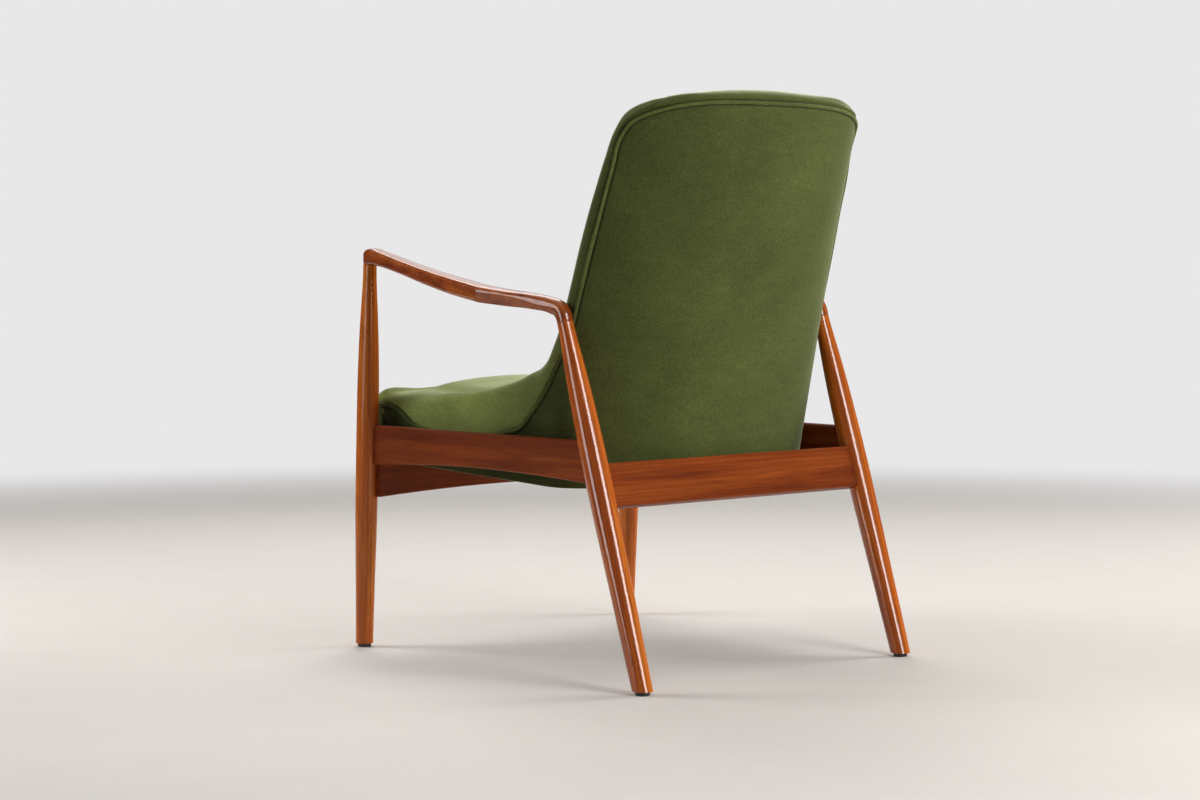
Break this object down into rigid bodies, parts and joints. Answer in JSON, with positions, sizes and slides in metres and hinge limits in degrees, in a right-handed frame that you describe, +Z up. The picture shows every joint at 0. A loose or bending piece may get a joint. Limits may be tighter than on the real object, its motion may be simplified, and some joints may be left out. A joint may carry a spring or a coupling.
{
  "type": "occasional chair",
  "caption": "Armchair with an open turned-wood frame, sculpted armrests and an upholstered velvet bucket seat and back.",
  "frame": {"origin": "middle of the chair's width and depth, on the floor", "axes": "+Z up; the sitter looks towards -Y; +X is the sitter's left"},
  "size_m": [0.673, 0.6982, 0.885],
  "materials": {
    "oiled_wood": "reddish brown oiled hardwood, semi-gloss, long straight grain",
    "raw_wood": "plain unfinished hardwood",
    "plywood": "moulded birch plywood, unfinished",
    "velvet_inner": "olive green velvet with a short pile",
    "velvet_outer": "olive green velvet with a short pile",
    "velvet_piping": "olive green velvet cord piping",
    "foam": "open-cell polyurethane foam, pale cream",
    "webbing": "woven elastic webbing, dark brown",
    "dust_cloth": "thin black non-woven cloth",
    "zinc_steel": "zinc-plated steel",
    "glide_black": "black moulded plastic, satin"
  },
  "bodies": {
    "root": {"arm_dowels": "raw_wood", "armrest_left": "oiled_wood", "armrest_right": "oiled_wood", "back_foam": "foam", "back_shell": "plywood", "bracket_screws": "zinc_steel", "dust_cover": "dust_cloth", "front_border": "velvet_outer", "front_leg_left": "oiled_wood", "front_leg_right": "oiled_wood", "front_rail": "oiled_wood", "glide_front_left": "glide_black", "glide_front_right": "glide_black", "glide_nails": "zinc_steel", "glide_rear_left": "glide_black", "glide_rear_right": "glide_black", "inner_cover": "velvet_inner", "outer_cover": "velvet_outer", "piping": "velvet_piping", "rail_dowels": "raw_wood", "rear_leg_left": "oiled_wood", "rear_leg_right": "oiled_wood", "rear_rail": "oiled_wood", "seat_bracket_front_left": "zinc_steel", "seat_bracket_front_right": "zinc_steel", "seat_bracket_rear_left": "zinc_steel", "seat_bracket_rear_right": "zinc_steel", "seat_foam": "foam", "seat_frame_dowels": "raw_wood", "seat_frame_front": "raw_wood", "seat_frame_left": "raw_wood", "seat_frame_rear": "raw_wood", "seat_frame_right": "raw_wood", "seat_webbing_cross": "webbing", "seat_webbing_long": "webbing", "shell_screws": "zinc_steel", "side_rail_left": "oiled_wood", "side_rail_right": "oiled_wood"}
  },
  "joints": []
}
